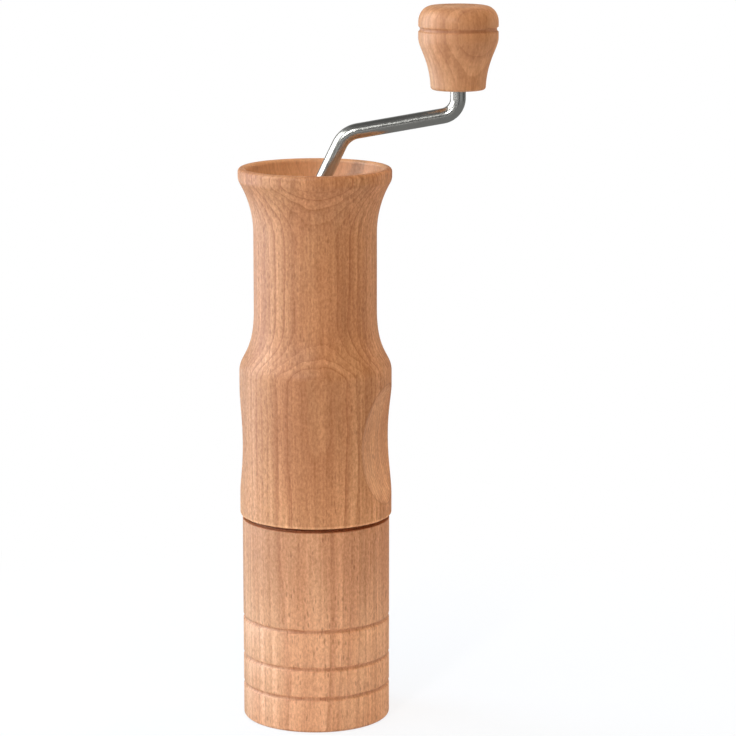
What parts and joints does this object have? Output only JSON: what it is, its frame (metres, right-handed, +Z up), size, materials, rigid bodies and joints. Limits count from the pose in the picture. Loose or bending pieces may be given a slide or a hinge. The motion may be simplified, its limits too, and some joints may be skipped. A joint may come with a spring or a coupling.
{
  "type": "hand grain mill",
  "caption": "Hand-cranked wooden grain mill: a flared barrel with finger scoops over a grounds jar, conical burrs inside, and a bent steel crank with a turned knob.",
  "frame": {"origin": "on the mill's axis at the flat base of the grounds jar", "axes": "+Z up along the mill's axis; +X from the axis towards the crank's knob at rest"},
  "size_m": [0.1009, 0.06, 0.2822],
  "materials": {
    "barrel_wood": "oiled beech",
    "jar_wood": "oiled beech, a little paler",
    "knob_wood": "oiled beech, end grain on top",
    "polished_steel": "polished",
    "plain_steel": "plain",
    "burr_ceramic": "sintered, matte",
    "dark_plastic": "moulded, fine grain",
    "bush_brass": "turned",
    "seal_rubber": "matte"
  },
  "bodies": {
    "jar": {"grounds_jar": "jar_wood"},
    "barrel": {"mill_barrel": "barrel_wood", "burr_carrier": "dark_plastic", "carrier_screw_1": "plain_steel", "carrier_screw_2": "plain_steel", "carrier_screw_3": "plain_steel", "ring_burr": "burr_ceramic", "burr_retainer": "plain_steel", "retainer_screw_1": "plain_steel", "retainer_screw_2": "plain_steel", "retainer_screw_3": "plain_steel", "seal_ring": "seal_rubber", "lower_bush": "bush_brass", "upper_stay": "plain_steel", "upper_bush": "bush_brass"},
    "shaft": {"drive_shaft": "plain_steel", "thrust_washer": "plain_steel", "shaft_clip": "plain_steel", "spring_seat": "plain_steel", "burr_spring": "plain_steel", "end_clip": "plain_steel"},
    "burr": {"cone_burr": "burr_ceramic", "burr_core": "dark_plastic"},
    "adjuster": {"adjuster": "dark_plastic", "adjuster_insert": "bush_brass"},
    "crank": {"crank_rod": "polished_steel", "drive_socket": "plain_steel", "socket_pin": "plain_steel", "knob_collar": "plain_steel", "knob_clip": "plain_steel"},
    "knob": {"knob": "knob_wood", "knob_bush": "bush_brass", "knob_plug": "knob_wood"}
  },
  "joints": [
    {"name": "barrel_lift", "type": "slide", "parent": "jar", "child": "barrel", "axis": [0, 0, 1], "range_m": [0, 0.05]},
    {"name": "shaft_turn", "type": "hinge", "parent": "barrel", "child": "shaft", "pos_m": [0, 0, 0.15], "axis": [0, 0, 1], "continuous": true},
    {"name": "burr_gap", "type": "slide", "parent": "shaft", "child": "burr", "axis": [0, 0, -1], "range_m": [0, 0.00161], "deforming": ["burr_spring"]},
    {"name": "adjuster_turn", "type": "hinge", "parent": "burr", "child": "adjuster", "pos_m": [0, 0, 0.0714], "axis": [0, 0, -1], "range_deg": [0, 720]},
    {"name": "crank_lift", "type": "slide", "parent": "shaft", "child": "crank", "axis": [0, 0, 1], "range_m": [0, 0.075]},
    {"name": "knob_spin", "type": "hinge", "parent": "crank", "child": "knob", "pos_m": [0.0554, 0, 0.26], "axis": [0, 0, 1], "continuous": true}
  ],
  "couplings": [
    {"joint": "burr_gap", "follows": "adjuster_turn", "m_per_rad": 0.00012732}
  ]
}
